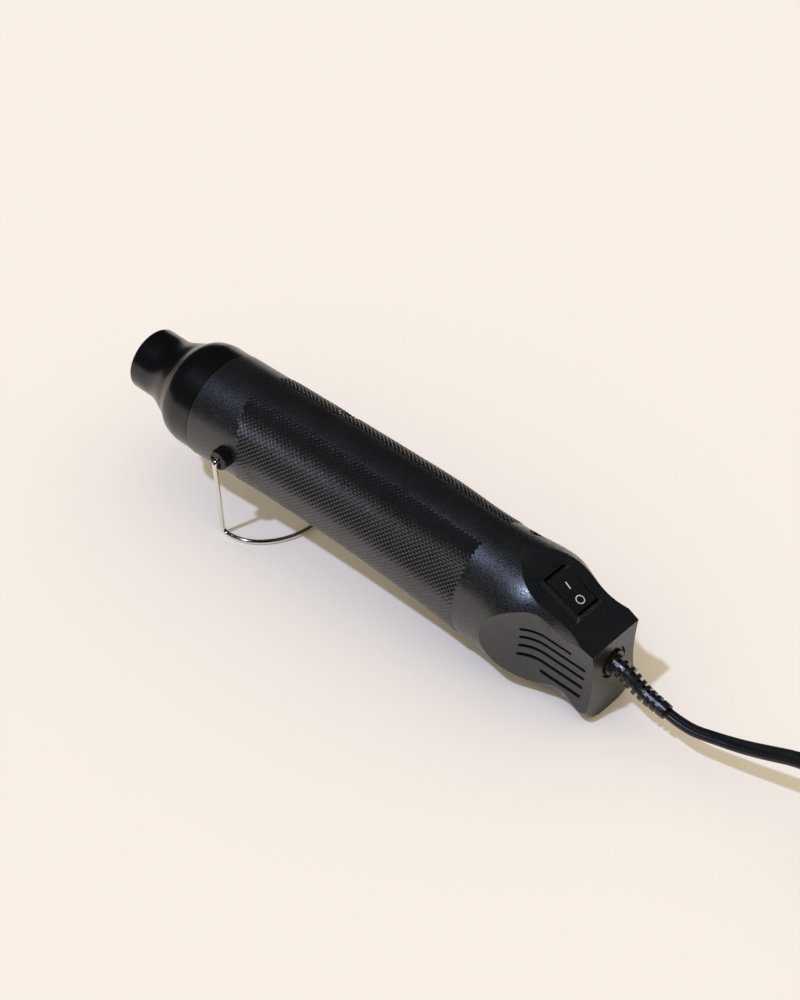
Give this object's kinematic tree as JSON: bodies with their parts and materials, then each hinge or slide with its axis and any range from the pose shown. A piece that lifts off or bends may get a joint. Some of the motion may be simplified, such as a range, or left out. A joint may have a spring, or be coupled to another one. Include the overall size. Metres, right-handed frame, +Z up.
{
  "type": "embossing heat tool",
  "caption": "Hand-held electric hot-air tool for embossing crafts: round grained barrel, black nozzle, folding wire stand, rocker switch, vented rear, cord with plug",
  "frame": {"origin": "under the middle of the tool's length, on the surface that it stands on, in its parting plane", "axes": "+X along the tool from the nozzle to the cord, +Y to the side away from the picture's camera, +Z up"},
  "size_m": [0.4539, 0.0819, 0.0585],
  "materials": {
    "casing": "fine grained black",
    "nozzle": "glossy black",
    "boss": "glossy black",
    "stand_wire": "polished",
    "steel": "bright",
    "mica": "pale mica",
    "ceramic": "unglazed",
    "brass": "bright",
    "screw": "blackened",
    "moulding": "plain",
    "fan": "plain",
    "board": "green laminate",
    "component": "moulded",
    "capacitor": "dipped",
    "switch_frame": "satin black",
    "rocker": "satin black",
    "relief": "satin black",
    "cord": "smooth black",
    "tie": "plain black",
    "plug": "smooth black",
    "lead_brown": "insulated",
    "lead_blue": "insulated",
    "lead_red": "insulated",
    "lead_white": "glass sleeve"
  },
  "bodies": {
    "tool": {"nozzle_shroud": "nozzle", "heat_tube": "steel", "mica_liner": "mica", "flat_mica_plate": "mica", "upright_mica_plate": "mica", "heating_coil": "steel", "element_base": "ceramic", "base_terminals": "brass", "thermal_cutout": "steel", "left_shell": "casing", "right_shell": "casing", "shell_screws": "screw", "near_stand_boss": "boss", "far_stand_boss": "boss", "motor_can": "steel", "motor_end_cap": "moulding", "motor_tabs": "brass", "motor_mount": "moulding", "motor_screws": "screw", "circuit_board": "board", "rectifier_diodes": "component", "capacitor": "capacitor", "switch_housing": "switch_frame", "switch_terminals": "brass", "cord_clamp": "moulding", "clamp_screws": "screw", "strain_relief": "relief", "inner_cord": "cord", "live_lead": "lead_brown", "switched_lead": "lead_brown", "neutral_lead": "lead_blue", "motor_leads": "lead_red", "heater_leads": "lead_white", "free_cord": "cord", "cord_coil": "cord", "cord_tie": "tie", "plug_body": "plug", "plug_blades": "brass"},
    "stand": {"wire_stand": "stand_wire"},
    "rocker": {"rocker_button": "rocker"},
    "rotor": {"fan": "fan", "motor_shaft": "steel"}
  },
  "joints": [
    {"name": "stand_hinge", "type": "hinge", "parent": "tool", "child": "stand", "pos_m": [-0.05351, 0, 0.03631], "axis": [0, 1, 0], "range_deg": [-20, 94]},
    {"name": "rocker_hinge", "type": "hinge", "parent": "tool", "child": "rocker", "pos_m": [0.09291, 0, 0.04107], "axis": [0, 1, 0], "range_deg": [-18, 0]},
    {"name": "fan_spin", "type": "hinge", "parent": "tool", "child": "rotor", "pos_m": [0.00206, 0, 0.03403], "axis": [0.9975, 0, -0.071], "continuous": true}
  ]
}
